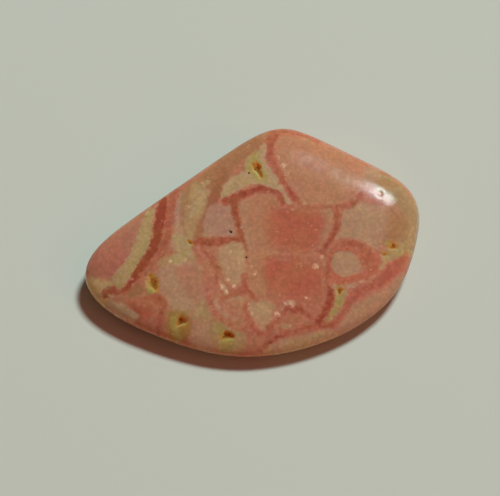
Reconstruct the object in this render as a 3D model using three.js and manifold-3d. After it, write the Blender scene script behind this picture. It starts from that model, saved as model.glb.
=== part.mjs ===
// A polished slice of rhodochrosite: a flat, tumbled piece of banded pink stone, lying on its sawn face.
// Millimetres, +Z up. The origin is on the table, under the middle of the stone's bounding box, and +X runs
// along its length. The stone grew as one piece, so it is one solid.

import * as THREE from "three";
import { mergeVertices } from "three/addons/utils/BufferGeometryUtils.js";
import Module from "manifold-3d";

const wasm = await Module();
wasm.setup();

// Driving dimensions, in millimetres and degrees.

// The point inside the stone that its worn faces are measured from. Its height is that of the widest rim.
const HEART = new THREE.Vector3(0.5, -1.55, 2.2);

// The faces that sawing and tumbling left. Each looks in a compass direction (0 along +X, 90 along +Y), leans
// back from upright by some degrees, and lies at a distance from the heart.
const RIM_FACES = [
  { side: "right end", looks: 347, leans: 8, distance: 13.35 },
  { side: "back right flank", looks: 61, leans: 20, distance: 12.15 },
  { side: "back left flank", looks: 127, leans: 7, distance: 9.45 },
  { side: "left tip", looks: 195, leans: 8, distance: 15.85 },
  { side: "front left flank", looks: 246.5, leans: 0, distance: 10.8 },
  { side: "front", looks: 278.5, leans: 2, distance: 9.95 },
  { side: "front right flank", looks: 305.5, leans: 2, distance: 10.85 },
];
const TOP_FACE = { looks: 275, leans: 81, distance: 2.2 };
const BASE_FACE = { looks: 0, leans: -90, distance: 2.4 };

// How squarely the faces meet: 2 would be an ellipsoid, and a high number a sharp edge.
const RIM_SQUARENESS = 8.6;
const EDGE_SQUARENESS = 3.2;

// A rough ball that is shaped into the stone: its half length, half width and half thickness.
const BALL = new THREE.Vector3(15, 11, 3);
const BALL_DETAIL = 17;

// Vugs: the small open hollows where three round growths met and left a gap between them. Each has its place on
// the face, its length, width and depth, the way it is turned, and its number of corners, with how far they reach.
const TOP_VUGS = [
  { x: 0.35, y: 5.6, length: 1.75, width: 1.75, depth: 0.75, turn: 90, corners: 3, reach: 0.32 },
  { x: -8.85, y: -5.1, length: 1.9, width: 0.95, depth: 0.6, turn: -70, corners: 2, reach: 0.1 },
  { x: -6.45, y: -8.6, length: 1.3, width: 1.15, depth: 0.7, turn: -10, corners: 3, reach: 0.26 },
  { x: -2.3, y: -9.75, length: 1.6, width: 1.1, depth: 0.8, turn: 0, corners: 3, reach: 0.28 },
  { x: -5.65, y: -1.45, length: 0.85, width: 0.5, depth: 0.35, turn: -40, corners: 2, reach: 0.1 },
  { x: 12.4, y: -1.4, length: 0.95, width: 1.05, depth: 0.45, turn: 100, corners: 3, reach: 0.3 },
  { x: 11.65, y: -2.2, length: 0.7, width: 0.5, depth: 0.3, turn: 30, corners: 3, reach: 0.2 },
  { x: 7.6, y: -5.75, length: 1.0, width: 0.75, depth: 0.4, turn: -90, corners: 3, reach: 0.28 },
];
const BASE_VUGS = [
  { x: 4.6, y: 3.4, length: 1.6, width: 1.4, depth: 0.6, turn: 40, corners: 3, reach: 0.32 },
  { x: -5.2, y: -2.6, length: 1.2, width: 0.9, depth: 0.45, turn: 160, corners: 3, reach: 0.3 },
  { x: 5.4, y: -5.6, length: 0.9, width: 0.7, depth: 0.35, turn: 0, corners: 3, reach: 0.25 },
];
const VUG_SEGMENTS = 15;
const VUG_RINGS = 8;

// Searching for the skin: a height that is over all of it, the stride down from there, how often the last stride is
// halved, and the step that the skin's slope is taken over.
const OVERHEAD = 8;
const STRIDE = 0.1;
const HALVINGS = 30;
const SLOPE_STEP = 0.2;

// Vertices closer than this are one.
const MERGE_DISTANCE = 1e-4;

// The outward direction of a face.
function outward(face) {
  const looks = THREE.MathUtils.degToRad(face.looks);
  const leans = THREE.MathUtils.degToRad(face.leans);
  return new THREE.Vector3(
    Math.cos(looks) * Math.cos(leans),
    Math.sin(looks) * Math.cos(leans),
    Math.sin(leans),
  );
}

// How far a point is towards a face, as a share of that face's distance.
function share(point, face) {
  return Math.max(0, point.dot(outward(face)) / face.distance);
}

// The stone's size in units of itself at a point given from the heart: below 1 inside, 1 on the skin. Faces meet
// as in a superellipse, so the edges between them are rounded as tumbling rounds them.
function fullness(point) {
  const rim = RIM_FACES.reduce((sum, face) => sum + share(point, face) ** RIM_SQUARENESS, 0);
  const flat = [TOP_FACE, BASE_FACE].map((face) => share(point, face) ** EDGE_SQUARENESS);
  return (rim ** (EDGE_SQUARENESS / RIM_SQUARENESS) + flat[0] + flat[1]) ** (1 / EDGE_SQUARENESS);
}

// Whether a point of the table's frame is inside the stone.
function holds(x, y, z) {
  return fullness(new THREE.Vector3(x, y, z).sub(HEART)) < 1;
}

// The height of the upper skin over a place on the table: down in strides until inside, then by halving the last one.
function skinHeight(x, y) {
  let outside = OVERHEAD;
  while (outside > STRIDE && !holds(x, y, outside - STRIDE)) outside -= STRIDE;
  let inside = outside - STRIDE;
  for (let halving = 0; halving < HALVINGS; halving += 1) {
    const middle = (inside + outside) / 2;
    if (holds(x, y, middle)) inside = middle;
    else outside = middle;
  }
  return inside;
}

// The direction in which the upper skin faces at a place.
function skinNormal(x, y) {
  const slopeX = (skinHeight(x + SLOPE_STEP, y) - skinHeight(x - SLOPE_STEP, y)) / (2 * SLOPE_STEP);
  const slopeY = (skinHeight(x, y + SLOPE_STEP) - skinHeight(x, y - SLOPE_STEP)) / (2 * SLOPE_STEP);
  return new THREE.Vector3(-slopeX, -slopeY, 1).normalize();
}

// A geometry with positions alone and its shared vertices merged.
function merged(geometry) {
  const bare = geometry.clone();
  bare.deleteAttribute("normal");
  bare.deleteAttribute("uv");
  return mergeVertices(bare, MERGE_DISTANCE);
}

function solidOf(geometry) {
  return new wasm.Manifold(
    new wasm.Mesh({
      numProp: 3,
      vertProperties: geometry.attributes.position.array,
      triVerts: new Uint32Array(geometry.index.array),
    }),
  );
}

function geometryOf(solid) {
  const mesh = solid.getMesh();
  const geometry = new THREE.BufferGeometry();
  geometry.setAttribute("position", new THREE.BufferAttribute(mesh.vertProperties, mesh.numProp));
  geometry.setIndex(new THREE.BufferAttribute(mesh.triVerts, 1));
  geometry.computeVertexNormals();
  return geometry;
}

// The tumbled body: a ball drawn out to the worn faces, with its base flat where it was sawn.
function tumbledBody() {
  const geometry = merged(new THREE.IcosahedronGeometry(1, BALL_DETAIL));
  const position = geometry.attributes.position;
  const point = new THREE.Vector3();
  for (let i = 0; i < position.count; i += 1) {
    point.fromBufferAttribute(position, i).multiply(BALL);
    point.divideScalar(fullness(point)).add(HEART);
    position.setXYZ(i, point.x, point.y, Math.max(0, point.z));
  }
  return solidOf(geometry);
}

// A bowl with rounded corners, its rim level with the skin, to be cut out of it.
function vugCutter(vug) {
  const geometry = merged(new THREE.SphereGeometry(0.5, VUG_SEGMENTS, VUG_RINGS));
  const position = geometry.attributes.position;
  for (let i = 0; i < position.count; i += 1) {
    const angle = Math.atan2(position.getY(i), position.getX(i));
    const spread = 1 + vug.reach * Math.cos(vug.corners * angle);
    position.setXYZ(
      i,
      position.getX(i) * vug.length * spread,
      position.getY(i) * vug.width * spread,
      position.getZ(i) * vug.depth * 2,
    );
  }
  return geometry.rotateZ(THREE.MathUtils.degToRad(vug.turn));
}

function topVug(vug) {
  const upright = new THREE.Vector3(0, 0, 1);
  const leaning = new THREE.Quaternion().setFromUnitVectors(upright, skinNormal(vug.x, vug.y));
  const geometry = vugCutter(vug).applyQuaternion(leaning);
  return solidOf(geometry.translate(vug.x, vug.y, skinHeight(vug.x, vug.y)));
}

function baseVug(vug) {
  return solidOf(vugCutter(vug).translate(vug.x, vug.y, 0));
}

// The finished slice: the body with its vugs cut out.
function polishedSlice() {
  const cutters = [...TOP_VUGS.map(topVug), ...BASE_VUGS.map(baseVug)];
  const stone = cutters.reduce((body, cutter) => body.subtract(cutter), tumbledBody());
  const material = new THREE.MeshStandardMaterial({ color: 0xd98378, roughness: 0.28, metalness: 0 });
  const mesh = new THREE.Mesh(geometryOf(stone), material);
  mesh.name = "rhodochrosite_slice";
  return mesh;
}

const part = new THREE.Group();
part.add(polishedSlice());

export default part;
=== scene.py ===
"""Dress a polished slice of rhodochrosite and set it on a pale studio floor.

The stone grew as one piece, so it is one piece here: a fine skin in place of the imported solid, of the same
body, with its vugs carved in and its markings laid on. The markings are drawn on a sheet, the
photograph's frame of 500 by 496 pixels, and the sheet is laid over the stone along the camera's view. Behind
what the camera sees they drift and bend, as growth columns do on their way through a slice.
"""

import logging
import math
from dataclasses import dataclass, field
from enum import Enum, IntEnum

import bmesh
import bpy
import numpy as np
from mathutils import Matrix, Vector, noise


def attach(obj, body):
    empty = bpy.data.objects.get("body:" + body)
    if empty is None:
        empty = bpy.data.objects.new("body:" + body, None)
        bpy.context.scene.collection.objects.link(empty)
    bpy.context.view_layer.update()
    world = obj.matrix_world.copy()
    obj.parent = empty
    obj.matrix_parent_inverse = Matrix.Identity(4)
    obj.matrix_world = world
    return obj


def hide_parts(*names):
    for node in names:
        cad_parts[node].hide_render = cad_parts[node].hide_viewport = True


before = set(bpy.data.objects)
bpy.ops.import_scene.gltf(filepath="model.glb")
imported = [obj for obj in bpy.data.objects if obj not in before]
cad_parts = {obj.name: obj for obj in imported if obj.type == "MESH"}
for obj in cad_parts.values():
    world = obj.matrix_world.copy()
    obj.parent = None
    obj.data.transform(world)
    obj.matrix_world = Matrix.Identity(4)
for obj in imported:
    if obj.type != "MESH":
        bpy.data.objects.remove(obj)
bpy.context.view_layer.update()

log = logging.getLogger("rhodochrosite slice")

MM = 0.001
NODE = "rhodochrosite_slice"

# The photograph's frame, which the sheet of markings repeats, and its scale at the stone.
FRAME_WIDTH = 500
FRAME_HEIGHT = 496
PIXELS_PER_MM = 11.137

Point = tuple[float, float]
Socket = bpy.types.NodeSocket


def linear(hex_colour: str) -> tuple[float, float, float, float]:
    """Turn an sRGB colour into Blender's linear one.

    Args:
        hex_colour: The colour as "#rrggbb".

    Returns:
        Red, green, blue and an alpha of 1.
    """
    shares = [int(hex_colour[at : at + 2], 16) / 255 for at in (1, 3, 5)]
    red, green, blue = (s / 12.92 if s <= 0.04045 else ((s + 0.055) / 1.055) ** 2.4 for s in shares)
    return red, green, blue, 1.0


def smoothstep(low: float, high: float, value: np.ndarray) -> np.ndarray:
    """Ease from 0 at the low value to 1 at the high one."""
    share = np.clip((value - low) / (high - low), 0.0, 1.0)
    return share * share * (3 - 2 * share)


def lengths(vectors: np.ndarray) -> np.ndarray:
    """Measure each row."""
    return np.sqrt((vectors * vectors).sum(-1))


def drift_of(points: np.ndarray, grain: float) -> np.ndarray:
    """Give each point a smooth random vector.

    Args:
        points: Places, in metres.
        grain: The size of one bend, in metres.

    Returns:
        A vector for each point, with parts from about -1 to 1.
    """
    return np.array([noise.noise_vector(Vector(point) / grain) for point in points])


def compass(looks: float, leans: float) -> np.ndarray:
    """Turn a compass direction and a lean back from upright, in degrees, into a unit vector."""
    turn, lean = math.radians(looks), math.radians(leans)
    return np.array([math.cos(turn) * math.cos(lean), math.sin(turn) * math.cos(lean), math.sin(lean)])


def add_object(name: str, data: bpy.types.ID) -> bpy.types.Object:
    """Put an object in the scene."""
    thing = bpy.data.objects.new(name, data)
    bpy.context.scene.collection.objects.link(thing)
    return thing


def set_looking(thing: bpy.types.Object, place: Vector, towards: Vector) -> None:
    """Place a camera or lamp and turn it to look in a direction, with its upper side up."""
    thing.location = place
    thing.rotation_mode = "QUATERNION"
    thing.rotation_quaternion = towards.to_track_quat("-Z", "Y")


@dataclass(frozen=True)
class PhotoCamera:
    """The camera that took the photograph, and that the sheet of markings is seen through.

    Attributes:
        elevation: Its height over the horizon, in degrees, as it looks along +Y.
        distance: From the aim to the lens, in metres.
        aim: The point that the middle of the frame falls on.
        sensor: The sensor's width, in millimetres.
    """

    elevation: float = 62.0
    distance: float = 200 * MM
    aim: tuple[float, float, float] = (-0.32 * MM, -0.80 * MM, 2.2 * MM)
    sensor: float = 36.0

    @property
    def back(self) -> np.ndarray:
        """Point from the aim back to the lens."""
        return compass(-90.0, self.elevation)

    @property
    def up(self) -> np.ndarray:
        """Point up the frame."""
        return compass(90.0, 90.0 - self.elevation)

    @property
    def focal(self) -> float:
        """Give the focal length in pixels of the frame."""
        return PIXELS_PER_MM / MM * self.distance

    def on_sheet(self, points: np.ndarray) -> np.ndarray:
        """Find the pixels that points fall on.

        Args:
            points: Places, in metres.

        Returns:
            Their x and y on the sheet, with y downwards.
        """
        seen = points - (np.array(self.aim) + self.back * self.distance)
        away = -(seen @ self.back)
        across = FRAME_WIDTH / 2 + self.focal * seen[:, 0] / away
        down = FRAME_HEIGHT / 2 - self.focal * (seen @ self.up) / away
        return np.stack([across, down], -1)

    def seen_from(self, points: np.ndarray, pixel: Point) -> np.ndarray:
        """Measure in millimetres how far from a pixel points are seen."""
        return lengths(self.on_sheet(points) - np.array(pixel)) / PIXELS_PER_MM

    def build(self) -> bpy.types.Object:
        """Make the scene's camera.

        Returns:
            The camera object.
        """
        lens = bpy.data.cameras.new("photo camera")
        lens.sensor_width = self.sensor
        lens.lens = self.sensor * self.focal / FRAME_WIDTH
        lens.clip_start = 10 * MM
        lens.dof.use_dof = False
        camera = add_object("photo camera", lens)
        set_looking(camera, Vector(self.aim) + Vector(self.back) * self.distance, Vector(-self.back))
        bpy.context.scene.camera = camera
        return camera


class Growth(Enum):
    """The colours of the stone's growths: manganese reds and pinks, mauves and creams, and iron's ochres."""

    ROSE = "#c7846c"
    BRICK = "#ca785b"
    RUST = "#b47656"
    CORAL = "#ca8a6b"
    SALMON = "#cc9672"
    MAUVE = "#c79b80"
    FAWN = "#c9a180"
    CREAM = "#cfa982"
    TAWNY = "#bb8761"
    TAN = "#bc9267"
    HONEY = "#c5a374"
    OCHRE = "#b99050"
    OLIVE = "#b79c72"
    STRAW = "#dbba84"


@dataclass(frozen=True)
class Patch:
    """An area of one colour on the sheet.

    Attributes:
        growth: The growth it is, and so its colour.
        outline: Its corners, rounded off when it is drawn.
        soft: How far its edge fades, in pixels.
        cover: How much of what is under it it hides, from 0 to 1.
    """

    growth: Growth
    outline: tuple[Point, ...]
    soft: float = 3.0
    cover: float = 1.0


@dataclass(frozen=True)
class Vein:
    """A drawn line of varying width: a growth band or a seam.

    Attributes:
        route: Its bends, each with the width there.
        strength: How fully it covers what is under it, from 0 to 1.
        shade: Where it stands between its kind's two colours, from 0 to 1.
    """

    route: tuple[tuple[float, float, float], ...]
    strength: float = 1.0
    shade: float = 0.5


@dataclass(frozen=True)
class Vug:
    """A small open hollow where round growths met, with its place on the table's plan, in millimetres.

    Attributes:
        x: Its place along the stone.
        y: Its place across the stone.
        length: Its length.
        width: Its width.
        depth: Its depth.
        turn: The way it is turned, in degrees.
        corners: Its number of corners.
        reach: How far the corners reach, as a share of its size.
    """

    x: float
    y: float
    length: float
    width: float
    depth: float
    turn: float
    corners: int
    reach: float


@dataclass(frozen=True)
class Dent:
    """A shallow dip that tumbling left in the polish, or a swell where it took less away.

    Attributes:
        at: Its pixel on the sheet.
        radius: Its radius, in millimetres.
        depth: Its depth, in millimetres, below 0 for a swell.
    """

    at: Point
    radius: float
    depth: float


# Blender's vector noise starts from the clock unless it is given a seed.
NOISE_SEED = 7

# Drawing lines on the sheet: the parts that each arc is cut into, and a length too small to divide by.
ARC_PARTS = 6
TINY = 1e-9

# Searching for the skin over a place: a height over all of it, and the stride up to there, in metres.
OVERHEAD = 8 * MM
STRIDE = 0.005 * MM
# A side of the block shorter than this, in the block's own units, has no length.
NO_LENGTH = 1e-4
# The share that a point has of a vug that isn't on its side of the stone: anything well over 1.
FAR_SHARE = 9.0

# The stone's body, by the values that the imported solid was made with: the point that its worn faces are
# measured from, and for each face the compass direction that it looks in and how far it leans back from
# upright, both in degrees, and its distance in millimetres.
HEART = np.array([0.5, -1.55, 2.2]) * MM
RIM_FACES = (
    (347, 8, 13.35),
    (61, 20, 12.15),
    (127, 7, 9.45),
    (195, 8, 15.85),
    (246.5, 0, 10.8),
    (278.5, 2, 9.95),
    (305.5, 2, 10.85),
)
TOP_FACE = (275, 81, 2.2)
BASE_FACE = (0, -90, 2.4)
# Its vugs, within 0.2 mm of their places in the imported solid, and as small as they look in the photograph.
TOP_VUGS = (
    Vug(0.35, 5.6, 1.5, 0.68, 0.34, -66, 3, 0.22),
    Vug(-8.85, -5.1, 1.5, 0.9, 0.26, -70, 2, 0.1),
    Vug(-6.4, -8.5, 0.95, 0.8, 0.28, -10, 3, 0.2),
    Vug(-2.3, -9.75, 1.15, 0.75, 0.36, -15, 3, 0.2),
    Vug(-5.65, -1.45, 0.75, 0.35, 0.12, -40, 2, 0.1),
    Vug(12.4, -1.4, 0.75, 0.7, 0.18, 100, 3, 0.2),
    Vug(11.65, -2.2, 0.55, 0.35, 0.12, 30, 3, 0.2),
    Vug(7.6, -5.75, 0.7, 0.5, 0.14, -90, 3, 0.2),
)
BASE_VUGS = (
    Vug(4.6, 3.4, 1.4, 1.2, 0.5, 40, 3, 0.2),
    Vug(-5.2, -2.6, 1.1, 0.8, 0.4, 160, 3, 0.2),
    Vug(5.4, -5.6, 0.8, 0.6, 0.3, 0, 3, 0.2),
)
DENTS = (
    Dent((380, 194.5), 0.38, 0.03),
    Dent((216, 225), 1.2, 0.02),
    # The right shoulder stands a little proud.
    Dent((421, 196), 9.9, -0.25),
)

# Pinholes, with their radius in millimetres.
PINHOLES = (((231, 232), 0.14), ((229.5, 230.8), 0.08), ((246.3, 257.3), 0.11), ((249, 173), 0.1))

PATCHES = (
    # The left tip.
    Patch(Growth.ROSE, (
        (82, 274), (90, 252), (108, 236), (132, 222), (146, 216), (140, 240), (131, 262), (112, 284),
        (86, 288),
    )),
    Patch(Growth.STRAW, ((84, 278), (100, 280), (114, 284), (110, 296), (104, 308), (92, 298)), 6),
    Patch(Growth.OLIVE, ((128, 224), (146, 216), (138, 244), (130, 262), (124, 250)), 6, 0.25),
    # Between the dark band and the left vug.
    Patch(Growth.RUST, (
        (172, 196), (182, 192), (176, 218), (170, 246), (158, 262), (148, 274), (140, 284), (132, 290),
        (150, 262), (166, 230),
    ), 4),
    Patch(Growth.TAWNY, ((126, 292), (142, 286), (152, 294), (148, 302), (130, 300)), 4),
    Patch(Growth.CORAL, ((124, 300), (150, 297), (158, 312), (160, 336), (140, 326), (128, 312)), 5),
    Patch(Growth.BRICK, ((128, 300), (146, 299), (152, 312), (146, 318), (134, 312)), 4),
    # Mauve, cream and ochre growths down the left.
    Patch(Growth.MAUVE, ((168, 200), (180, 192), (190, 196), (186, 222), (176, 236), (170, 222)), 4),
    Patch(Growth.TAN, (
        (184, 190), (212, 176), (216, 200), (208, 220), (204, 242), (188, 246), (182, 225),
    ), 5),
    Patch(Growth.HONEY, ((186, 214), (202, 214), (206, 234), (196, 244), (186, 238)), 5),
    Patch(Growth.HONEY, (
        (188, 196), (194, 182), (206, 178), (214, 190), (210, 206), (202, 214), (190, 212),
    ), 5),
    Patch(Growth.FAWN, ((172, 226), (182, 226), (184, 244), (172, 250)), 4),
    Patch(Growth.HONEY, ((158, 262), (172, 254), (190, 250), (196, 262), (180, 268), (164, 270)), 5),
    Patch(Growth.FAWN, (
        (158, 272), (172, 263), (190, 262), (202, 268), (208, 284), (206, 302), (196, 314), (182, 316),
        (168, 306), (160, 292),
    ), 5),
    Patch(Growth.CORAL, ((176, 268), (200, 268), (206, 290), (196, 304), (184, 290)), 8, 0.5),
    # The orange strip along the upper left edge.
    Patch(Growth.TAWNY, (
        (200, 176), (262, 132), (268, 150), (240, 162), (228, 180), (216, 200), (206, 196),
    ), 4),
    Patch(Growth.RUST, (
        (218, 174), (228, 172), (222, 196), (210, 214), (202, 238), (194, 236), (206, 204),
    ), 5, 0.8),
    # The mauve cell left of the middle.
    Patch(Growth.MAUVE, (
        (208, 208), (224, 202), (233, 206), (235, 224), (232, 237), (210, 238), (203, 226),
    ), 3),
    # The two big cells in the middle.
    Patch(Growth.SALMON, (
        (238, 206), (252, 196), (270, 194), (282, 203), (302, 206), (328, 207), (332, 222), (326, 240),
        (316, 254), (302, 260), (284, 256), (262, 263), (250, 258), (244, 240),
    )),
    Patch(Growth.BRICK, (
        (272, 208), (300, 207), (322, 212), (324, 232), (312, 250), (290, 252), (272, 244), (266, 226),
    ), 20, 0.95),
    Patch(Growth.CORAL, (
        (258, 264), (272, 254), (290, 257), (312, 258), (324, 254), (327, 276), (324, 300), (310, 312),
        (290, 306), (268, 304), (250, 288), (246, 270),
    )),
    Patch(Growth.BRICK, (
        (264, 262), (280, 257), (306, 261), (322, 272), (320, 292), (300, 298), (276, 292), (264, 278),
    ), 18, 0.9),
    Patch(Growth.SALMON, ((246, 262), (256, 258), (264, 276), (266, 296), (256, 292), (247, 278)), 4, 0.8),
    Patch(Growth.MAUVE, (
        (239, 205), (247, 203), (249, 218), (254, 236), (257, 250), (249, 250), (244, 236), (240, 222),
    ), 6, 0.45),
    Patch(Growth.FAWN, ((321, 211), (331, 209), (332, 226), (326, 241), (320, 238), (324, 224)), 6, 0.4),
    # The salmon cell at the upper right.
    Patch(Growth.SALMON, (
        (272, 146), (280, 137), (302, 136), (332, 148), (364, 166), (372, 182), (360, 192), (345, 203),
        (320, 206), (300, 204), (290, 190), (280, 172),
    )),
    Patch(Growth.SALMON, ((296, 180), (330, 184), (350, 196), (322, 205), (302, 203)), 6, 0.8),
    # The cells at the right.
    Patch(Growth.FAWN, (
        (340, 214), (360, 204), (384, 210), (388, 228), (382, 246), (366, 250), (352, 240), (336, 240),
        (338, 226),
    ), 4),
    Patch(Growth.FAWN, ((362, 236), (376, 234), (380, 248), (368, 252), (360, 244)), 4, 0.8),
    Patch(Growth.OLIVE, (
        (366, 170), (392, 180), (408, 194), (422, 222), (414, 262), (396, 268), (394, 250), (402, 230),
        (394, 206), (376, 190),
    ), 4),
    Patch(Growth.TAN, ((384, 208), (402, 214), (404, 236), (392, 250), (382, 240), (388, 224)), 10, 0.8),
    Patch(Growth.TAN, ((374, 180), (396, 184), (392, 190), (376, 186)), 4, 0.8),
    Patch(Growth.FAWN, ((364, 168), (378, 170), (378, 180), (362, 184)), 3, 0.8),
    Patch(Growth.BRICK, (
        (332, 246), (350, 240), (366, 246), (380, 258), (376, 274), (352, 284), (332, 286), (328, 266),
    ), 3),
    Patch(Growth.FAWN, (
        (334, 254), (344, 251), (356, 256), (362, 266), (356, 274), (342, 277), (333, 270),
    ), 3),
    # The lower right: the wide red band's ground and the pink rim outside it.
    Patch(Growth.ROSE, (
        (402, 256), (410, 262), (396, 284), (360, 304), (344, 332), (326, 340), (330, 318), (350, 292),
        (378, 276),
    ), 4),
    Patch(Growth.FAWN, (
        (346, 312), (362, 300), (382, 290), (402, 272), (404, 286), (384, 312), (354, 336), (334, 344),
        (338, 328),
    ), 5),
    # The bottom.
    Patch(Growth.CORAL, (
        (204, 262), (222, 254), (240, 290), (250, 300), (262, 330), (240, 334), (216, 318), (206, 296),
    ), 4),
    Patch(Growth.SALMON, ((212, 296), (240, 294), (252, 304), (248, 322), (228, 322), (214, 310)), 4),
    # Two cream cells.
    Patch(Growth.CREAM, (
        (220, 247), (232, 241), (243, 245), (245, 262), (243, 275), (236, 287), (228, 281), (222, 270),
        (217, 256),
    ), 7),
    Patch(Growth.CREAM, (
        (248, 304), (260, 300), (270, 303), (281, 312), (276, 320), (268, 326), (262, 331), (254, 324),
        (248, 315),
    ), 6),
    Patch(Growth.CORAL, ((278, 306), (312, 310), (318, 322), (290, 332), (272, 330)), 4),
    Patch(Growth.CREAM, ((262, 352), (270, 344), (300, 336), (334, 330), (338, 342), (300, 354)), 4),
    Patch(Growth.FAWN, ((186, 330), (206, 322), (216, 334), (218, 352), (196, 348)), 5),
    Patch(Growth.OCHRE, ((168, 312), (186, 312), (192, 326), (184, 342), (170, 338), (166, 324)), 5),
    Patch(Growth.HONEY, (
        (208, 322), (222, 322), (242, 330), (246, 344), (236, 354), (216, 350), (210, 336),
    ), 5),
    Patch(Growth.HONEY, ((196, 306), (210, 306), (212, 322), (196, 322)), 5, 0.8),
)

# Growth bands, from orange red (shade 0) to the darkest red (shade 1).
BANDS = (
    # The serrated band beside the left tip, with its hook and its fainter second strand.
    Vein((
        (165, 201, 8), (162, 212, 12), (159.5, 222, 11), (158, 233, 11), (156, 241, 10),
        (152.5, 250, 11), (145.5, 261, 9), (137.5, 273, 8), (131.5, 283, 6), (123, 292, 5),
    ), 1.0, 1.0),
    Vein(((124, 293, 6), (117, 291, 7), (111, 289, 7), (106, 297, 6)), 0.95, 0.7),
    Vein(((174, 191, 9), (171, 205, 11), (169, 217, 10), (168, 228, 8)), 0.85, 0.4),
    Vein((
        (171, 216, 8), (170, 226, 8), (168, 236, 8), (164, 246, 7), (157, 256, 5), (149, 266, 4),
        (141, 277, 3),
    ), 0.65, 0.4),
    # The corner band under the left vug.
    Vein((
        (145, 296, 4), (153, 298, 7), (161, 301, 8), (162, 310, 7), (160, 322, 6), (158, 334, 5),
    ), 0.8, 0.6),
    Vein(((132, 304, 8), (140, 309, 9)), 0.7, 0.6),
    # The network round the middle.
    Vein(((198, 241, 8), (208, 242, 9), (220, 241, 9), (232, 239, 6), (243, 239, 5)), 0.95, 0.6),
    Vein(((234, 202, 9), (236, 214, 8), (239, 223, 7), (240, 232, 6), (243, 241, 5)), 0.95, 0.65),
    Vein((
        (226, 202, 7), (233, 200, 10), (242, 195, 8), (252, 191, 7), (262, 189, 7), (272, 190, 6),
        (279, 194, 6), (283, 202, 5),
    ), 1.0, 0.65),
    Vein(((244, 242, 3), (247, 252, 3), (247, 262, 2)), 0.6, 0.6),
    Vein((
        (274, 134, 12), (271, 146, 8), (271, 158, 8), (276, 169, 8), (283, 181, 8), (291, 193, 7),
        (299, 204, 5),
    ), 0.95, 0.45),
    Vein(((268, 140, 6), (276, 133, 8), (288, 131, 7), (302, 135, 6), (320, 141, 5)), 0.8, 0.35),
    Vein((
        (300, 206, 3), (318, 207, 3), (335, 207, 4), (346, 206, 6), (354, 203, 7), (361, 195, 5),
    ), 0.75, 0.5),
    Vein((
        (336, 206, 5), (337, 216, 7), (337, 226, 7), (333, 236, 6), (327, 245, 5), (323, 254, 4),
    ), 0.9, 0.6),
    Vein((
        (318, 250, 4), (324, 254, 3), (328, 258, 3), (327, 270, 3), (327, 282, 4), (330, 290, 6),
    ), 0.7, 0.6),
    Vein(((330, 288, 6), (330, 300, 8), (326, 311, 8), (318, 320, 7)), 1.0, 0.75),
    Vein(((262, 262, 2), (275, 256, 2), (292, 257, 2), (303, 260, 3), (312, 257, 2)), 0.5, 0.5),
    Vein((
        (333, 249, 5), (340, 244, 8), (350, 243, 9), (361, 247, 11), (370, 255, 12), (374, 264, 10),
        (370, 272, 7), (360, 277, 5), (348, 281, 5), (336, 281, 4), (331, 272, 3),
    ), 0.75, 0.25),
    Vein(((203, 248, 5), (210, 258, 5), (216, 268, 6), (216, 280, 5), (222, 292, 4)), 0.7, 0.35),
    Vein(((212, 264, 7), (218, 268, 6)), 0.8, 0.5),
    Vein(((244, 276, 5), (246, 288, 6), (252, 294, 6), (256, 299, 4)), 0.85, 0.4),
    Vein(((222, 298, 4), (232, 294, 6), (246, 292, 6)), 0.7, 0.45),
    Vein(((246, 304, 5), (246, 314, 7), (250, 324, 6), (258, 333, 6), (268, 334, 5)), 0.85, 0.35),
    Vein(((280, 314, 5), (276, 322, 6), (268, 328, 5)), 0.85, 0.5),
    Vein((
        (283, 312, 5), (288, 308, 6), (294, 311, 6), (299, 306, 6), (303, 312, 5), (312, 316, 4),
    ), 0.9, 0.6),
    Vein(((209, 297, 4), (213, 308, 4), (221, 318, 5), (232, 325, 5), (244, 329, 5)), 0.7, 0.3),
    Vein(((214, 290, 2), (220, 303, 2), (228, 312, 3), (238, 318, 2)), 0.5, 0.25),
    Vein((
        (332, 325, 7), (314, 326, 6), (298, 330, 6), (282, 335, 6), (268, 343, 6), (260, 350, 5),
    ), 0.9, 0.5),
    # The wide band at the lower right.
    Vein((
        (405, 258, 8), (394, 268, 13), (381, 279, 12), (368, 287, 10), (354, 297, 9), (345, 308, 8),
        (339, 319, 7), (333, 328, 6),
    ), 0.65, 0.4),
)

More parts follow.
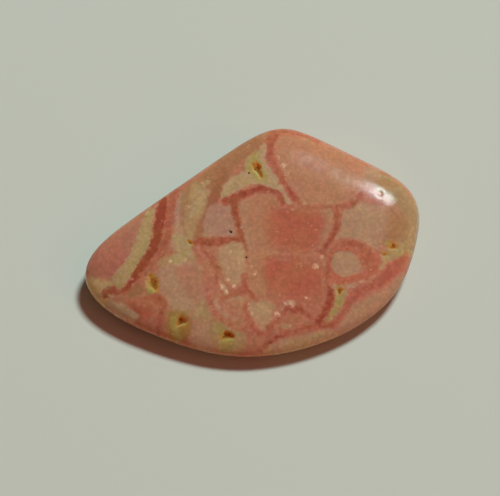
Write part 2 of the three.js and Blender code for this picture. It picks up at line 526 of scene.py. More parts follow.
# Calcite seams, from cream (shade 0) to ochre (shade 1).
SEAMS = (
    Vein((
        (151, 211, 7), (147, 224, 12), (144, 236, 14), (140, 250, 15), (133, 261, 14), (124, 273, 15),
        (117, 283, 16), (108, 293, 10),
    ), 0.9, 0.45),
    Vein(((112, 306, 11), (122, 311, 14), (133, 317, 10)), 1.0, 0.0),
    Vein(((208, 182, 4), (201, 187, 6), (193, 196, 4)), 0.75, 0.35),
    Vein(((209, 191, 4), (201, 197, 6), (192, 206, 4)), 0.75, 0.3),
    Vein(((206, 202, 3), (199, 207, 5), (192, 215, 3)), 0.7, 0.25),
    Vein(((177, 238, 8), (184, 246, 15), (183, 255, 14), (173, 261, 9)), 0.9, 0.4),
    Vein(((154, 276, 6), (151, 284, 10), (153, 291, 7)), 1.0, 0.95),
    Vein(((258, 154, 8), (254, 164, 17), (256, 172, 22), (264, 178, 12)), 1.0, 0.7),
    Vein(((252, 177, 16), (241, 181, 16), (232, 187, 15), (225, 195, 10)), 0.85, 0.2),
    Vein(((263, 147, 8), (266, 162, 13), (272, 177, 13), (281, 190, 9)), 0.85, 0.15),
    Vein(((256, 180, 7), (266, 182, 8), (275, 187, 8), (284, 196, 7), (290, 203, 4)), 0.9, 0.35),
    Vein(((219, 284, 5), (225, 291, 7)), 0.8, 0.0),
    Vein(((282, 310, 4), (288, 304, 5), (293, 303, 4)), 0.8, 0.0),
    Vein(((215, 300, 3), (220, 309, 4), (227, 315, 4), (235, 319, 3)), 0.8, 0.05),
    Vein(((230, 300, 3), (238, 297, 4), (243, 302, 3)), 0.5, 0.05),
    Vein(((380, 268, 6), (386, 260, 8), (396, 254, 9), (410, 254, 7)), 0.95, 0.55),
    Vein(((388, 242, 6), (393, 247, 9)), 0.9, 0.9),
    Vein(((386, 262, 7), (393, 254, 12), (401, 246, 10)), 0.8, 0.5),
    Vein(((384, 254, 7), (387, 256, 5)), 0.9, 0.85),
    Vein(((334, 287, 4), (350, 285, 4), (365, 281, 4), (378, 275, 4), (385, 268, 4)), 0.8, 0.15),
    Vein(((340, 289, 10), (341, 298, 12), (336, 308, 11), (330, 316, 8), (325, 323, 6)), 0.95, 0.65),
    Vein(((174, 318, 8), (175, 328, 9), (178, 337, 9)), 0.8, 0.9),
    Vein(((218, 326, 7), (224, 336, 14), (230, 343, 14), (222, 349, 8)), 0.85, 0.8),
    Vein(((196, 319, 6), (202, 312, 9), (207, 319, 6)), 0.7, 0.5),
    Vein(((284, 326, 5), (290, 328, 4)), 0.7, 0.5),
    Vein(((412, 232, 8), (408, 244, 7)), 0.6, 0.35),
    Vein(((286, 348, 8), (302, 341, 8), (322, 336, 7)), 0.6, 0.35),
)

# Pale crystals, each with its radius in pixels and how strongly it shows.
CRYSTALS = (
    (284, 165, 2.6, 0.8),
    (287, 174, 2.2, 0.7),
    (279, 158, 2.0, 0.4),
    (201, 182, 2.2, 0.8),
    (187, 207, 2.4, 0.5),
    (171, 261, 2.6, 0.8),
    (185, 260, 2.4, 0.5),
    (255, 273, 2.4, 0.9),
    (251, 267, 2.2, 0.9),
    (247, 252, 1.6, 0.6),
    (228, 280, 2.4, 0.7),
    (221, 287, 3.0, 0.8),
    (227, 292, 2.8, 0.8),
    (234, 286, 2.4, 0.8),
    (231, 252, 2.4, 0.35),
    (238, 262, 2.4, 0.35),
    (229, 268, 2.2, 0.4),
    (291, 304, 3.0, 0.8),
    (285, 302, 2.0, 0.7),
    (308, 298, 2.0, 0.8),
    (277, 313, 2.8, 0.9),
    (266, 309, 2.4, 0.5),
    (249, 307, 2.4, 0.8),
    (253, 313, 2.2, 0.7),
    (315, 266, 3.6, 0.65),
    (322, 257, 1.8, 0.6),
    (305, 203, 1.8, 0.6),
    (320, 197, 1.3, 0.5),
    (369, 242, 3.6, 0.5),
    (377, 230, 2.4, 0.4),
    (146, 307, 1.8, 0.7),
    (105, 268, 1.6, 0.5),
    (150, 249, 1.5, 0.6),
    (155, 284, 1.6, 0.9),
    (242, 227, 1.8, 0.6),
    (292, 211, 1.5, 0.5),
    (249, 146, 1.8, 0.4),
)


def rounded(points: np.ndarray, closed: bool) -> np.ndarray:
    """Draw a smooth line through a few points, as a chain of Catmull-Rom arcs.

    Args:
        points: The points, one a row.
        closed: Whether the line runs back to its start.

    Returns:
        The line's finer points, one a row.
    """
    count = len(points)
    ends = count if closed else count - 1
    steps = np.linspace(0, 1, ARC_PARTS, endpoint=False)[:, None]
    arcs = []
    for at in range(ends):
        around = [at - 1, at, at + 1, at + 2]
        rows = [k % count for k in around] if closed else [min(max(k, 0), count - 1) for k in around]
        before, start, end, after = points[rows]
        bend = 2 * before - 5 * start + 4 * end - after
        twist = 3 * start - before - 3 * end + after
        arcs.append(0.5 * (2 * start + (end - before) * steps + bend * steps**2 + twist * steps**3))
    return np.concatenate(arcs if closed else [*arcs, points[-1:]])


def share_along(places: np.ndarray, start: np.ndarray, side: np.ndarray) -> np.ndarray:
    """Find where along a side, from 0 at its start to 1 at its end, places come closest to it."""
    return np.clip((places - start) @ side / max(side @ side, TINY), 0, 1)


def depth_in_outline(places: np.ndarray, outline: tuple[Point, ...]) -> np.ndarray:
    """Measure how deep places lie in a rounded outline.

    Args:
        places: Places on the sheet, one a row.
        outline: The outline's corners.

    Returns:
        For each place the pixels to the outline, below 0 outside.
    """
    starts = rounded(np.array(outline, float), closed=True)
    ends = np.roll(starts, -1, axis=0)
    nearest = np.full(len(places), np.inf)
    inside = np.zeros(len(places), bool)
    for start, end in zip(starts, ends):
        side = end - start
        share = share_along(places, start, side)
        nearest = np.minimum(nearest, lengths(places - start - share[:, None] * side))
        level = (start[1] > places[:, 1]) != (end[1] > places[:, 1])
        rise = np.where(abs(side[1]) > TINY, side[1], TINY)
        inside ^= level & (places[:, 0] < start[0] + (places[:, 1] - start[1]) / rise * side[0])
    return np.where(inside, nearest, -nearest)


def depth_in_vein(places: np.ndarray, vein: Vein) -> np.ndarray:
    """Measure how deep places lie in a vein.

    Args:
        places: Places on the sheet, one a row.
        vein: The vein.

    Returns:
        For each place the pixels to the vein's edge, below 0 outside.
    """
    line = rounded(np.array(vein.route, float), closed=False)
    deepest = np.full(len(places), -np.inf)
    for start, end in zip(line[:-1], line[1:]):
        side = end[:2] - start[:2]
        share = share_along(places, start[:2], side)
        width = start[2] + share * (end[2] - start[2])
        away = lengths(places - start[:2] - share[:, None] * side)
        deepest = np.maximum(deepest, width / 2 - away)
    return deepest


@dataclass(frozen=True)
class Markings:
    """All that is drawn on the sheet, laid on a mesh as attributes.

    Attributes:
        wander: How the drawn edges wander: the size of a bend in millimetres, and how far it goes in pixels.
        far_drift: How far, in pixels, the pattern has moved where the camera sees least of it.
        far_bend: How far it is bent there, in pixels.
        far_size: The size of a bend there, in millimetres.
        far_facing: How squarely the skin has to face away from the camera for all of that, from 0 to 1.
        crystal_edge: The shares of a crystal's radius between which it fades.
    """

    wander: tuple[Point, ...] = ((1.1, 1.4), (0.35, 1.0))
    far_drift: Point = (26.0, -17.0)
    far_bend: float = 14.0
    far_size: float = 3.5
    far_facing: float = 0.85
    crystal_edge: Point = (0.4, 1.2)

    def places(self, camera: PhotoCamera, points: np.ndarray, normals: np.ndarray) -> np.ndarray:
        """Find where points read the sheet.

        Args:
            camera: The camera that the sheet is seen through.
            points: Places on the skin.
            normals: The skin's directions there.

        Returns:
            Places on the sheet, one a row.
        """
        hidden = smoothstep(0.0, self.far_facing, -(normals @ camera.back))[:, None]
        wander = sum(drift_of(points, size * MM)[:, :2] * reach for size, reach in self.wander)
        far = np.array(self.far_drift) + drift_of(points, self.far_size * MM)[:, :2] * self.far_bend
        return camera.on_sheet(points) + wander + hidden * far

    def tints(self, places: np.ndarray) -> np.ndarray:
        """Paint the patches over each other.

        Args:
            places: Places on the sheet.

        Returns:
            A linear colour for each place.
        """
        colours = np.tile(np.array(linear(Growth.CORAL.value)), (len(places), 1))
        for patch in PATCHES:
            depth = depth_in_outline(places, patch.outline)
            share = smoothstep(-patch.soft / 2, patch.soft / 2, depth)[:, None] * patch.cover
            colours = colours * (1 - share) + np.array(linear(patch.growth.value)) * share
        return colours

    def veins(self, places: np.ndarray, veins: tuple[Vein, ...]) -> np.ndarray:
        """Measure each place against all veins of a kind.

        Args:
            places: Places on the sheet.
            veins: The veins.

        Returns:
            For each place the millimetres inside the nearest vein, its strength and its shade.
        """
        depths = np.stack([depth_in_vein(places, vein) for vein in veins])
        nearest = depths.argmax(0)
        strengths = np.array([vein.strength for vein in veins])[nearest]
        shades = np.array([vein.shade for vein in veins])[nearest]
        return np.stack([depths.max(0) / PIXELS_PER_MM, strengths, shades], -1)

    def crystals(self, places: np.ndarray) -> np.ndarray:
        """Measure how strongly pale crystals show.

        Args:
            places: Places on the sheet.

        Returns:
            A strength for each place, from 0 to 1.
        """
        shown = np.zeros(len(places))
        for x, y, radius, strength in CRYSTALS:
            away = lengths(places - np.array([x, y])) / radius
            shown = np.maximum(shown, strength * (1 - smoothstep(*self.crystal_edge, away)))
        return shown


@dataclass(frozen=True)
class WornBody:
    """The tumbled body: worn faces round a heart, which meet in edges rounded as tumbling rounds them.

    Attributes:
        rim_squareness: How squarely the rim's faces meet.
        edge_squareness: How squarely the rim meets the top and the base.
    """

    rim_squareness: float = 8.6
    edge_squareness: float = 3.2

    def shares(self, points: np.ndarray, face: tuple[float, float, float]) -> np.ndarray:
        """Measure how far points from the heart are towards a face, as shares of its distance."""
        looks, leans, distance = face
        return np.maximum(0, points @ compass(looks, leans) / (distance * MM))

    def fullness(self, points: np.ndarray) -> np.ndarray:
        """Measure points in units of the stone's own size.

        Args:
            points: Places, from the heart.

        Returns:
            For each the share of the way to the skin: 1 on it, more outside.
        """
        rim = sum(self.shares(points, face) ** self.rim_squareness for face in RIM_FACES)
        flat = sum(self.shares(points, face) ** self.edge_squareness for face in (TOP_FACE, BASE_FACE))
        return (rim ** (self.edge_squareness / self.rim_squareness) + flat) ** (1 / self.edge_squareness)

    def onto_skin(self, points: np.ndarray) -> np.ndarray:
        """Move points outwards or inwards onto the skin, and those below the table up onto it.

        Args:
            points: Places, from the heart.

        Returns:
            Places on the skin, in the shared frame.
        """
        skin = points / self.fullness(points)[:, None] + HEART
        skin[:, 2] = np.maximum(skin[:, 2], 0)
        return skin


def coordinates(mesh: bmesh.types.BMesh) -> np.ndarray:
    """Read a bmesh's vertices, one a row."""
    return np.array([vertex.co for vertex in mesh.verts])


def place(mesh: bmesh.types.BMesh, points: np.ndarray) -> None:
    """Move a bmesh's vertices to the given points, one a row."""
    for vertex, point in zip(mesh.verts, points):
        vertex.co = point


def directions(mesh: bmesh.types.BMesh) -> np.ndarray:
    """Work out a bmesh's vertex normals, one a row."""
    mesh.normal_update()
    return np.array([vertex.normal for vertex in mesh.verts])


class Side(Enum):
    """The face that a vug opens in."""

    TOP = "top"
    BASE = "base"


class Mix(IntEnum):
    """The colour sockets of a Mix node."""

    FACTOR = 0
    UNDER = 6
    OVER = 7
    RESULT = 2


def add_node(
    tree: bpy.types.NodeTree,
    kind: str,
    settings: dict[str | int, object] | None = None,
    links: dict[str | int, Socket] | None = None,
) -> bpy.types.Node:
    """Add a node to a material.

    Args:
        tree: The material's nodes.
        kind: The node's type.
        settings: Values by the name of a property of the node, or the name or number of an input.
        links: Sockets to read from, by the name or number of the input that reads them.

    Returns:
        The node.
    """
    node = tree.nodes.new(kind)
    for name, value in (settings or {}).items():
        if isinstance(name, str) and hasattr(node, name):
            setattr(node, name, value)
        else:
            node.inputs[name].default_value = value
    for name, socket in (links or {}).items():
        tree.links.new(socket, node.inputs[name])
    return node


@dataclass(frozen=True)
class Easel:
    """A material's nodes, with short ways to add the kinds it is painted with. Sizes are in millimetres.

    Attributes:
        tree: The nodes.
        where: The Object coordinates, which every texture reads.
    """

    tree: bpy.types.NodeTree
    where: Socket

    def noise(self, size: float, detail: float, roughness: float = 0.5) -> Socket:
        """Make a cloud with billows of a size."""
        settings = {"Scale": 1 / (size * MM), "Detail": detail, "Roughness": roughness}
        return add_node(self.tree, "ShaderNodeTexNoise", settings, {"Vector": self.where}).outputs["Fac"]

    def cells(self, size: float, settings: dict[str, object]) -> bpy.types.Node:
        """Make angular cells of a size, by the texture's other settings."""
        settings = {"Scale": 1 / (size * MM), **settings}
        return add_node(self.tree, "ShaderNodeTexVoronoi", settings, {"Vector": self.where})

    def cell_values(self, size: float, settings: dict[str, object]) -> Socket:
        """Give each angular cell a value of its own, from 0 to 1."""
        links = {"Color": self.cells(size, settings).outputs["Color"]}
        return add_node(self.tree, "ShaderNodeSeparateColor", links=links).outputs["Red"]

    def math(self, operation: str, *terms: Socket | float, clamped: bool = False) -> Socket:
        """Work out a sum, a product or the like.

        Args:
            operation: The Math node's operation.
            terms: Its terms, sockets or numbers.
            clamped: Whether the result stays between 0 and 1.

        Returns:
            The result.
        """
        settings = {"operation": operation, "use_clamp": clamped}
        links = {}
        for number, term in enumerate(terms):
            (links if isinstance(term, Socket) else settings)[number] = term
        return add_node(self.tree, "ShaderNodeMath", settings, links).outputs[0]

    def remap(self, value: Socket, start: Point, end: Point = (0.0, 1.0), eased: bool = False) -> Socket:
        """Stretch one range of values to another, and stop at its ends.

        Args:
            value: The value.
            start: The range that it comes from.
            end: The range that it goes to.
            eased: Whether it starts and stops softly.

        Returns:
            The value in its new range.
        """
        settings = {"interpolation_type": "SMOOTHSTEP" if eased else "LINEAR"}
        settings |= {"From Min": start[0], "From Max": start[1], "To Min": end[0], "To Max": end[1]}
        return add_node(self.tree, "ShaderNodeMapRange", settings, {"Value": value}).outputs["Result"]

    def attribute(self, name: str, output: str = "Fac") -> Socket:
        """Read what the skin carries under a name."""
        return add_node(self.tree, "ShaderNodeAttribute", {"attribute_name": name}).outputs[output]

    def vein(self, name: str) -> tuple[Socket, Socket, Socket]:
        """Read a kind of vein off the skin.

        Args:
            name: The skin's attribute for the veins.

        Returns:
            The millimetres inside it, its strength and its shade.
        """
        links = {"Vector": self.attribute(name, "Vector")}
        parts = add_node(self.tree, "ShaderNodeSeparateXYZ", links=links)
        return parts.outputs["X"], parts.outputs["Y"], parts.outputs["Z"]

    def over(self, under: Socket | str, over: Socket | str, factor: Socket) -> Socket:
        """Lay one colour over another.

        Args:
            under: The colour below, a socket or "#rrggbb".
            over: The colour above.
            factor: How much of the colour above shows.

        Returns:
            The mixed colour.
        """
        settings = {"data_type": "RGBA"}
        links = {Mix.FACTOR: factor}
        for slot, colour in ((Mix.UNDER, under), (Mix.OVER, over)):
            if isinstance(colour, str):
                settings[slot] = linear(colour)
            else:
                links[slot] = colour
        return add_node(self.tree, "ShaderNodeMix", settings, links).outputs[Mix.RESULT]

    def adjusted(self, links: dict[str, Socket]) -> Socket:
        """Change a colour's hue or value."""
        return add_node(self.tree, "ShaderNodeHueSaturation", links=links).outputs["Color"]

    def bumped(self, height: Socket, strength: float, distance: float) -> Socket:
        """Bend the normal by a height, whose full range stands for a distance in millimetres."""
        settings = {"Strength": strength, "Distance": distance * MM}
        return add_node(self.tree, "ShaderNodeBump", settings, {"Height": height}).outputs["Normal"]

    def finish(self, settings: dict[str, object], links: dict[str, Socket]) -> None:
        """Put the nodes to work in one Principled shader, with its settings and links."""
        shader = add_node(self.tree, "ShaderNodeBsdfPrincipled", settings, links)
        add_node(self.tree, "ShaderNodeOutputMaterial", links={"Surface": shader.outputs["BSDF"]})


def new_material(name: str) -> tuple[bpy.types.Material, Easel]:
    """Start a material with an easel that is empty but for its coordinates.

    Args:
        name: The material's name, which says what it is.

    Returns:
        The material and its easel.
    """
    material = bpy.data.materials.new(name)
    material.use_nodes = True
    tree = material.node_tree
    tree.nodes.clear()
    return material, Easel(tree, add_node(tree, "ShaderNodeTexCoord").outputs["Object"])


@dataclass(frozen=True)
class PolishedRhodochrosite:
    """Rhodochrosite, tumble-polished: manganese carbonate, with calcite seams and open vugs.

    Light goes a little way into the stone, red light furthest, so the pink growths look deep and soft-edged.
    The gleam of the polish is faint, as in the photograph. Seams take a duller polish, and the vugs are raw
    and brown with iron, darkened towards their floors by painted shade.

    Attributes:
        refraction: The mineral's index of refraction.
        gleam: How strongly the polish shines, where 0.5 is all that the index gives.
        polish: The least and the most roughness of the polish.
        seam_wear: How much rougher the seams are.
        raw_wear: How much rougher the vugs are.
        depth_scale: How far light goes in, in metres.
        depth_shares: The share of that depth that red, green and blue light reach.
        tip_size: The size of the crystal tips along a growth front, in millimetres.
        tip_grain: The size of the grain on those tips.
        tip_reach: How far the tips move a drawn edge to each side.
        edge_fade: How far a red band's edge fades.
        seam_fade: How far a seam's edge fades.
        core: How far inside its edge a vein reaches its full colour.
        layer: The thickness of one later layer of growth.
        layer_reach: How far out from a red band such layers show.
        layer_contrast: How much lighter and darker they are.
        cloud_size: The size of the clouds in the colour.
        grain_size: The size of the grain between crystals.
        crystal_size: The size of the single crystals, which each catch the light a little differently.
        facet_weight: How much they do so.
        hue_size: The size of the drifts in hue.
        face_size: The size of the faces of a drawn crystal cluster, half of which carry a painted glint.
        fleck_size: The size of the pale flecks.
        peel_size: The size of one bump of the polish's orange peel.
        peel_height: Its height.
        orange_red: The lightest growth band.
        dark_red: The darkest growth band.
        cream: The palest calcite.
        ochre: The calcite that iron stained most.
        crystal: The pale crystals.
        halo: The pale line that runs beside a red band.
        vug_brown: The vugs' rims.
        vug_floor_stain_and_shade: The vugs' floors: iron's brown, deepened by painted shade.
        pit_painted_shade: Painted shade, nearly black, in the pinholes.
    """

    refraction: float = 1.6
    gleam: float = 0.1
    polish: Point = (0.09, 0.23)
    seam_wear: float = 0.16
    raw_wear: float = 0.75
    depth_scale: float = 4 * MM
    depth_shares: tuple[float, float, float] = (1.0, 0.35, 0.2)
    tip_size: float = 0.55
    tip_grain: float = 0.16
    tip_reach: float = 0.19
    edge_fade: float = 0.06
    seam_fade: float = 0.1
    core: float = 0.2
    layer: float = 0.4
    layer_reach: float = 1.5
    layer_contrast: float = 0.035
    cloud_size: float = 1.3
    grain_size: float = 0.34
    crystal_size: float = 0.45
    facet_weight: float = 0.32
    hue_size: float = 2.2
    face_size: float = 0.22
    fleck_size: float = 0.32
    peel_size: float = 0.5
    peel_height: float = 0.02
    orange_red: str = "#d4886a"
    dark_red: str = "#ac5a40"
    cream: str = "#cfb28e"
    ochre: str = "#b8a65e"
    crystal: str = "#eec8a6"
    halo: str = "#d8a083"
    vug_brown: str = "#cc9c50"
    vug_floor_stain_and_shade: str = "#a8682a"
    pit_painted_shade: str = "#1c1410"

    def build(self) -> bpy.types.Material:
        """Make the material.

        Returns:
            The material, which reads the skin's own attributes and its Object coordinates.
        """
        material, easel = new_material("tumble-polished rhodochrosite")
        teeth = self.teeth(easel)
        seam = self.vein_mask(easel, "seam", teeth, self.seam_fade)
        band = self.vein_mask(easel, "band", teeth, self.edge_fade)
        raw = easel.attribute("raw")
        colour = self.with_growth_lines(easel, easel.attribute("tint", "Color"))
        colour = self.with_halo(easel, colour)
        colour = easel.over(colour, self.two_tone(easel, "seam", self.cream, self.ochre), seam)
        colour = easel.over(colour, self.two_tone(easel, "band", self.orange_red, self.dark_red), band)
        colour = self.mottled(easel, colour)
        colour = self.with_crystals(easel, colour)
        colour = self.with_hollows(easel, colour, raw)
        settings = {
            "IOR": self.refraction,
            "Subsurface Weight": 1.0,
            "Subsurface Radius": self.depth_shares,
            "Subsurface Scale": self.depth_scale,
        }
        links = {
            "Base Color": colour,
            "Roughness": self.roughness(easel, seam, raw),
            "Specular IOR Level": easel.math("MULTIPLY_ADD", raw, -self.gleam, self.gleam),
            "Normal": self.relief(easel, seam),
        }
        easel.finish(settings, links)
        return material

    def teeth(self, easel: Easel) -> Socket:
        """Make the angular raggedness of a growth front.

        Args:
            easel: The material's nodes.

        Returns:
            How far the front is moved, in millimetres about 0.
        """
        tips = easel.cells(self.tip_size, {"feature": "F1", "Randomness": 0.9}).outputs["Distance"]
        ragged = easel.math("ADD", tips, easel.noise(self.tip_grain, 3.0))
        # The two add up to between 0.4 and 1.4.
        return easel.remap(ragged, (0.4, 1.4), (-self.tip_reach, self.tip_reach))

    def vein_mask(self, easel: Easel, kind: str, teeth: Socket, fade: float) -> Socket:
        """Cut a kind of vein out along its ragged edge.

        Args:
            easel: The material's nodes.
            kind: The skin's attribute for the veins.
            teeth: The raggedness of their edge.
            fade: How far the edge fades, in millimetres.

        Returns:
            How much of the vein shows, from 0 to 1.
        """
        inside, strength, _ = easel.vein(kind)
        edge = easel.remap(easel.math("ADD", inside, teeth), (-fade, fade * 2), eased=True)
        return easel.math("MULTIPLY", edge, strength)

    def with_growth_lines(self, easel: Easel, colour: Socket) -> Socket:
        """Repeat each red band outwards as fainter and fainter lines, one for each later layer of growth.

        Args:
            easel: The material's nodes.
            colour: The colour so far.

        Returns:
            The colour with the lines.
        """
        inside = easel.vein("band")[0]
        bent = easel.math("MULTIPLY_ADD", easel.noise(0.8, 3.0), 0.5, inside)
        wave = easel.math("COSINE", easel.math("MULTIPLY", bent, 2 * math.pi / self.layer))
        fading = easel.remap(inside, (-self.layer_reach, 0.0), (0.0, self.layer_contrast))
        return easel.adjusted({"Value": easel.math("MULTIPLY_ADD", wave, fading, 1.0), "Color": colour})

    def with_halo(self, easel: Easel, colour: Socket) -> Socket:
        """Add the pale line that runs beside a red band, where the next growth began.

        Args:
            easel: The material's nodes.
            colour: The colour so far.

        Returns:
            The colour with the line.
        """
        near = easel.remap(easel.vein("band")[0], (-0.55, -0.12), eased=True)
        broken = easel.remap(easel.noise(0.9, 2.0), (0.45, 0.7), (0.0, 0.5))
        return easel.over(colour, self.halo, easel.math("MULTIPLY", near, broken))

    def two_tone(self, easel: Easel, kind: str, light: str, deep: str) -> Socket:
        """Colour a vein by its shade between its kind's two colours, palest at its edge and a little cloudy.

        Args:
            easel: The material's nodes.
            kind: The skin's attribute for the veins.
            light: The colour at shade 0.
            deep: The colour at shade 1.

        Returns:
            The colour.
        """
        inside, _, shade = easel.vein(kind)
        cloud = easel.remap(easel.noise(0.5, 3.0), (0.25, 0.75), (-0.35, 0.35))
        core = easel.remap(inside, (0.0, self.core), (-0.25, 0.1))
        drift = easel.math("ADD", core, cloud)
        return easel.over(light, deep, easel.math("ADD", shade, drift, clamped=True))

    def mottled(self, easel: Easel, colour: Socket) -> Socket:
        """Break the colour up into clouds and crystals.

        Args:
            easel: The material's nodes.
            colour: The colour so far.

        Returns:
            The colour with them.
        """
        clouds = easel.noise(self.cloud_size, 4.0, 0.62)
        grains = easel.cells(self.grain_size, {"feature": "SMOOTH_F1", "Smoothness": 0.5})
        facets = easel.cell_values(self.crystal_size, {"Detail": 1.0, "Roughness": 0.6})
        soft = easel.math("ADD", clouds, grains.outputs["Distance"])
        grainy = easel.math("MULTIPLY_ADD", facets, self.facet_weight, soft)
        # The three add up to between 0.6 and 1.6.
        value = easel.remap(grainy, (0.6, 1.6), (1.12, 0.88))
        hue = easel.remap(easel.noise(self.hue_size, 2.0), (0.3, 0.7), (0.492, 0.508))
        return easel.adjusted({"Hue": hue, "Value": value, "Color": colour})

    def with_crystals(self, easel: Easel, colour: Socket) -> Socket:
        """Add the pale crystals, drawn ones with painted glints on half their faces, and a scatter of faint
        specks.

        Args:
            easel: The material's nodes.
            colour: The colour so far.

        Returns:
            The colour with the crystals.
        """
        # Painted glints: half the faces of each drawn crystal show its pale colour strongly, the rest hardly
        # at all.
        shine = easel.remap(easel.cell_values(self.face_size, {}), (0.3, 0.6), (0.15, 1.35))
        cluster = easel.math("MULTIPLY", easel.attribute("crystal"), shine, clamped=True)
        specks = easel.remap(easel.noise(self.fleck_size, 2.5, 0.6), (0.62, 0.78), (0.0, 0.5), eased=True)
        return easel.over(colour, self.crystal, easel.math("MAXIMUM", cluster, specks))

    def with_hollows(self, easel: Easel, colour: Socket, raw: Socket) -> Socket:
        """Stain vugs ochre at the rim and brown, darkened by painted shade, at the floor; paint pinholes
        black as shade.

        Args:
            easel: The material's nodes.
            colour: The colour so far.
            raw: How far from a polished place, from 0 to 1.

        Returns:
            The colour with the stain.
        """
        # Towards each vug's floor the brown darkens with depth: iron stain, with painted shade for the
        # hollow.
        floor_stain_and_shade_mask = easel.math("MULTIPLY_ADD", easel.noise(0.3, 3.0), easel.attribute("hollow"), -0.25)
        brown = easel.over(self.vug_brown, self.vug_floor_stain_and_shade, easel.remap(floor_stain_and_shade_mask, (0.0, 0.3), eased=True))
        stained = easel.over(colour, brown, easel.remap(raw, (0.3, 0.95), eased=True))
        # The pinholes are painted black: painted shade in the holes.
        return easel.over(stained, self.pit_painted_shade, easel.attribute("pit"))

    def roughness(self, easel: Easel, seam: Socket, raw: Socket) -> Socket:
        """Dull the polish over seams, and lose it in and around vugs.

        Args:
            easel: The material's nodes.
            seam: How much of a seam shows.
            raw: How far from a polished place, from 0 to 1.

        Returns:
            The roughness.
        """
        polish = easel.remap(easel.noise(0.8, 4.0), (0.0, 1.0), self.polish)
        seams = easel.math("MULTIPLY_ADD", seam, self.seam_wear, polish)
        return easel.math("MULTIPLY_ADD", raw, self.raw_wear, seams, clamped=True)

    def relief(self, easel: Easel, seam: Socket) -> Socket:
        """Give the polish its faint orange peel, with the softer seams a hair lower."""
        height = easel.math("MULTIPLY_ADD", seam, -0.6, easel.noise(self.peel_size, 3.0))
        return easel.bumped(height, 0.35, self.peel_height)


